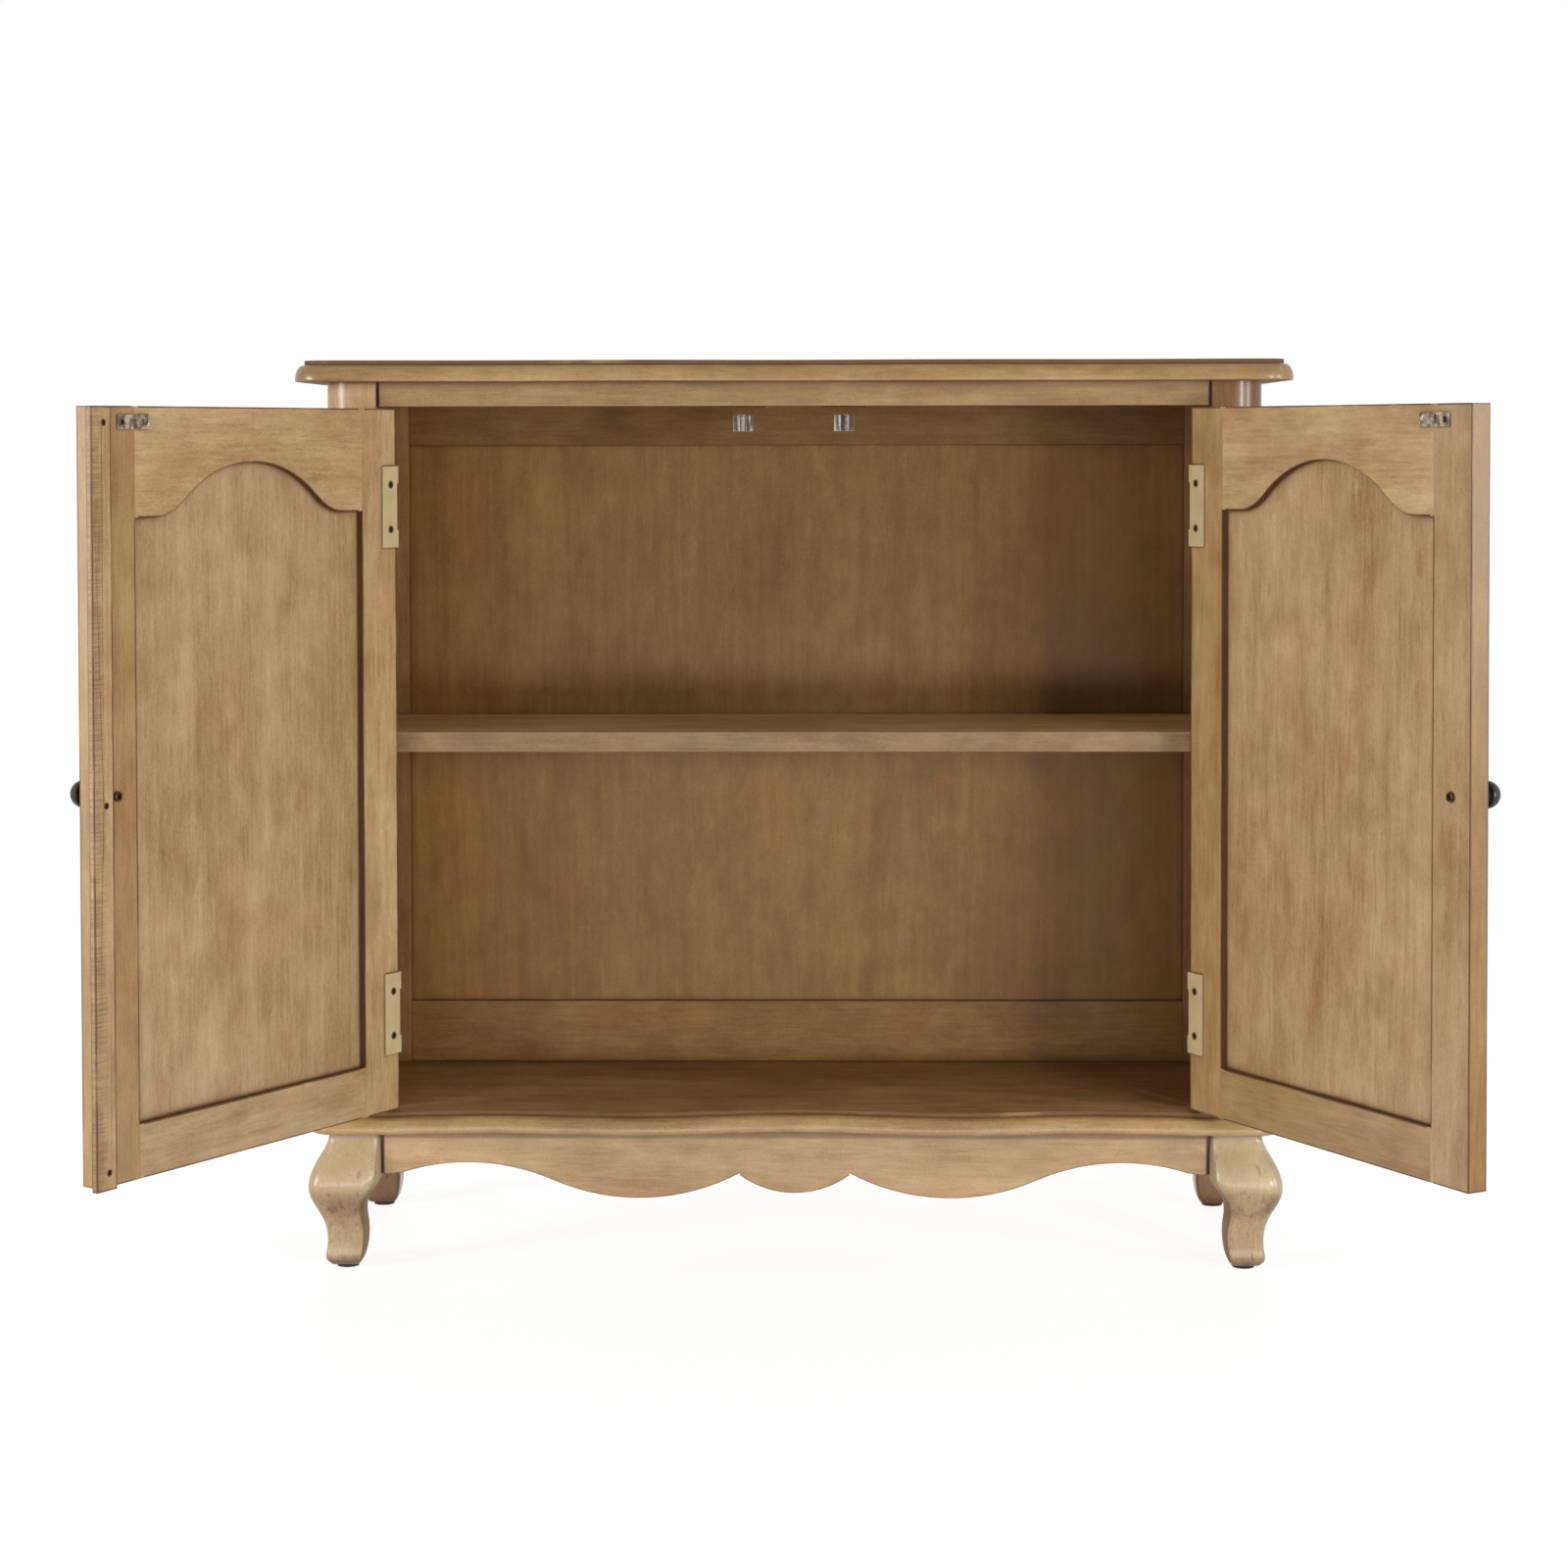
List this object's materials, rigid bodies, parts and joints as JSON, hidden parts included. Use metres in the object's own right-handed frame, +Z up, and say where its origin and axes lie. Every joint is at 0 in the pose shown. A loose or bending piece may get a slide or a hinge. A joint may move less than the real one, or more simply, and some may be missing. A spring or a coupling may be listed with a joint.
{
  "type": "accent cabinet",
  "caption": "Low wooden cabinet with a shaped top, arched panel doors that open outward, a shelf, a scrolled apron and short bowed feet.",
  "frame": {"origin": "bottom centre of the box round the cabinet with its doors open: on the floor, halfway across the case, 36 mm in front of the face of its corner posts", "axes": "+Z up, +X to the right as seen from the front, +Y towards the back; the doors face -Y"},
  "size_m": [1.2145, 0.6394, 0.864],
  "materials": {
    "wood": "stained, satin, worn at the edges",
    "inside_wood": "stained, matt",
    "shelf_wood": "stained, satin",
    "raw_wood": "bare",
    "knob_black": "satin",
    "hinge_metal": "dull",
    "catch_steel": "satin",
    "pin_steel": "bright",
    "screw_steel": "satin",
    "glide": "matt"
  },
  "bodies": {
    "carcass": {"top_board": "wood", "front_rail": "wood", "back_top_rail": "inside_wood", "back_bottom_rail": "inside_wood", "back_panel": "inside_wood", "left_side_board": "wood", "right_side_board": "wood", "front_left_post": "wood", "front_right_post": "wood", "back_left_post": "wood", "back_right_post": "wood", "bottom_board": "wood", "front_apron": "wood", "back_apron": "wood", "left_side_apron": "wood", "right_side_apron": "wood", "front_left_foot": "wood", "front_right_foot": "wood", "back_left_foot": "wood", "back_right_foot": "wood", "corner_blocks": "raw_wood", "foot_glides": "glide", "shelf": "shelf_wood", "shelf_pins": "pin_steel", "left_catch": "catch_steel", "right_catch": "catch_steel", "catch_screws": "screw_steel", "left_frame_leaves": "hinge_metal", "right_frame_leaves": "hinge_metal", "frame_leaf_screws": "screw_steel", "hinge_pins": "hinge_metal"},
    "left_door": {"left_hinge_stile": "wood", "left_lock_stile": "wood", "left_top_rail": "wood", "left_bottom_rail": "wood", "left_door_panel": "wood", "left_door_leaves": "hinge_metal", "left_leaf_screws": "screw_steel", "left_knob": "knob_black", "left_knob_screw": "screw_steel", "left_strike": "catch_steel", "left_strike_screws": "screw_steel", "cover_strip": "shelf_wood", "cover_strip_screws": "screw_steel"},
    "right_door": {"right_hinge_stile": "wood", "right_lock_stile": "wood", "right_top_rail": "wood", "right_bottom_rail": "wood", "right_door_panel": "wood", "right_door_leaves": "hinge_metal", "right_leaf_screws": "screw_steel", "right_knob": "knob_black", "right_knob_screw": "screw_steel", "right_strike": "catch_steel", "right_strike_screws": "screw_steel"},
    "left_catch_left_ball": {"left_catch_left_ball": "pin_steel"},
    "left_catch_right_ball": {"left_catch_right_ball": "pin_steel"},
    "right_catch_left_ball": {"right_catch_left_ball": "pin_steel"},
    "right_catch_right_ball": {"right_catch_right_ball": "pin_steel"}
  },
  "joints": [
    {"name": "left_door_hinge", "type": "hinge", "parent": "carcass", "child": "left_door", "pos_m": [-0.392, 0.0324, 0.488], "axis": [0, 0, -1], "range_deg": [-122.5, 52.5]},
    {"name": "right_door_hinge", "type": "hinge", "parent": "carcass", "child": "right_door", "pos_m": [0.392, 0.0324, 0.488], "axis": [0, 0, 1], "range_deg": [-120, 55]},
    {"name": "left_catch_left_ball_spring", "type": "slide", "parent": "carcass", "child": "left_catch_left_ball", "axis": [-1, 0, 0], "range_m": [0, 0.0009], "stiffness_N_per_m": 200},
    {"name": "left_catch_right_ball_spring", "type": "slide", "parent": "carcass", "child": "left_catch_right_ball", "axis": [1, 0, 0], "range_m": [0, 0.0009], "stiffness_N_per_m": 200},
    {"name": "right_catch_left_ball_spring", "type": "slide", "parent": "carcass", "child": "right_catch_left_ball", "axis": [-1, 0, 0], "range_m": [0, 0.0009], "stiffness_N_per_m": 200},
    {"name": "right_catch_right_ball_spring", "type": "slide", "parent": "carcass", "child": "right_catch_right_ball", "axis": [1, 0, 0], "range_m": [0, 0.0009], "stiffness_N_per_m": 200}
  ]
}
